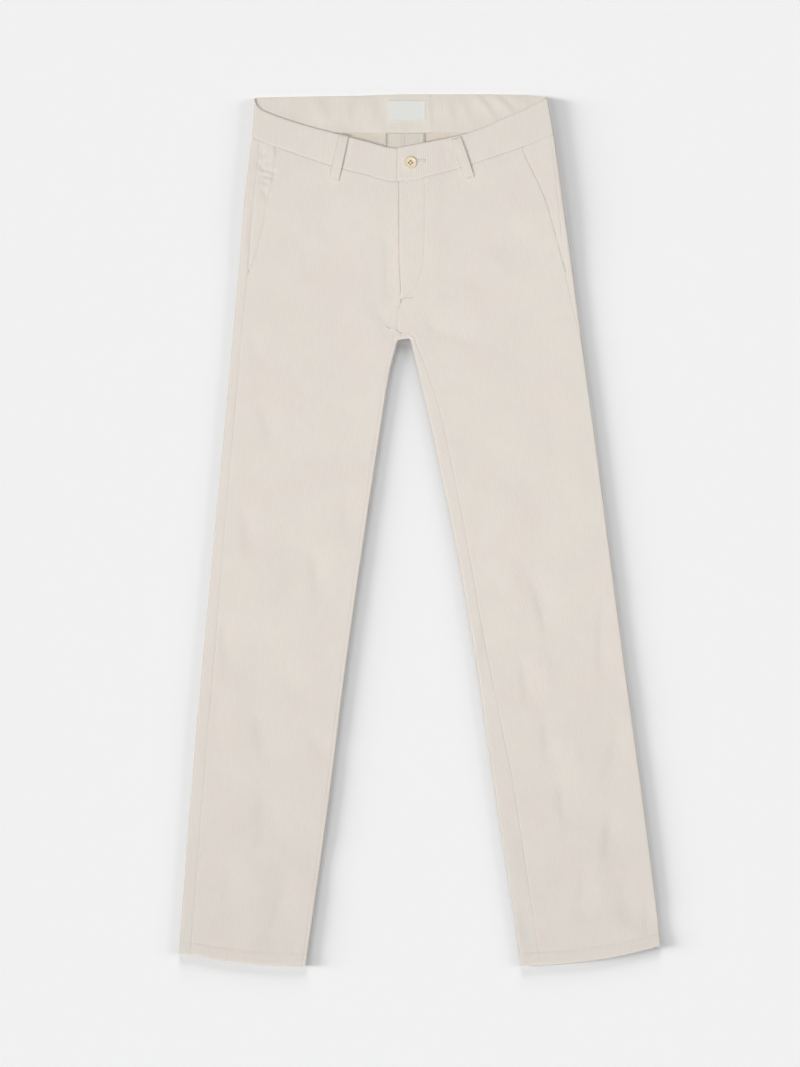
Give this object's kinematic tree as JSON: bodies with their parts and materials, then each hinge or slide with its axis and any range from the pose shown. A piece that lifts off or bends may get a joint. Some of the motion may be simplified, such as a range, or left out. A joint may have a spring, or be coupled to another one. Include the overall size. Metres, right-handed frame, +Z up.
{
  "type": "corduroy trousers",
  "caption": "Straight-leg corduroy trousers laid flat with the front up, with a buttoned waistband, lapped fly, slanted side pockets, belt loops and turned-up hems",
  "frame": {"origin": "On the surface the trousers lie on, under the middle of their length and width", "axes": "+Z up out of that surface through the front of the trousers, +Y from the hems to the waist, +X towards the wearer's left"},
  "size_m": [0.6275, 1.1334, 0.0123],
  "materials": {
    "corduroy": "fine-wale cotton corduroy, off-white, matt with a soft nap",
    "facing_cloth": "plain back of the same cloth, matt",
    "label_tape": "woven satin tape, near white, bare",
    "button_resin": "cast polyester button, cream, polished"
  },
  "bodies": {
    "root": {"front_right": "corduroy", "front_left": "corduroy", "back_right": "corduroy", "back_left": "corduroy", "waistband_right": "corduroy", "waistband_left": "corduroy", "waistband_facing": "facing_cloth", "label": "label_tape", "fly_shield": "corduroy", "pocket_facing_right": "corduroy", "pocket_facing_left": "corduroy", "seat_outlet_right": "corduroy", "seat_outlet_left": "corduroy", "belt_loop_front_right": "corduroy", "belt_loop_front_left": "corduroy", "belt_loop_back_right": "corduroy", "belt_loop_back_centre": "corduroy", "belt_loop_back_left": "corduroy", "button": "button_resin"}
  },
  "joints": []
}
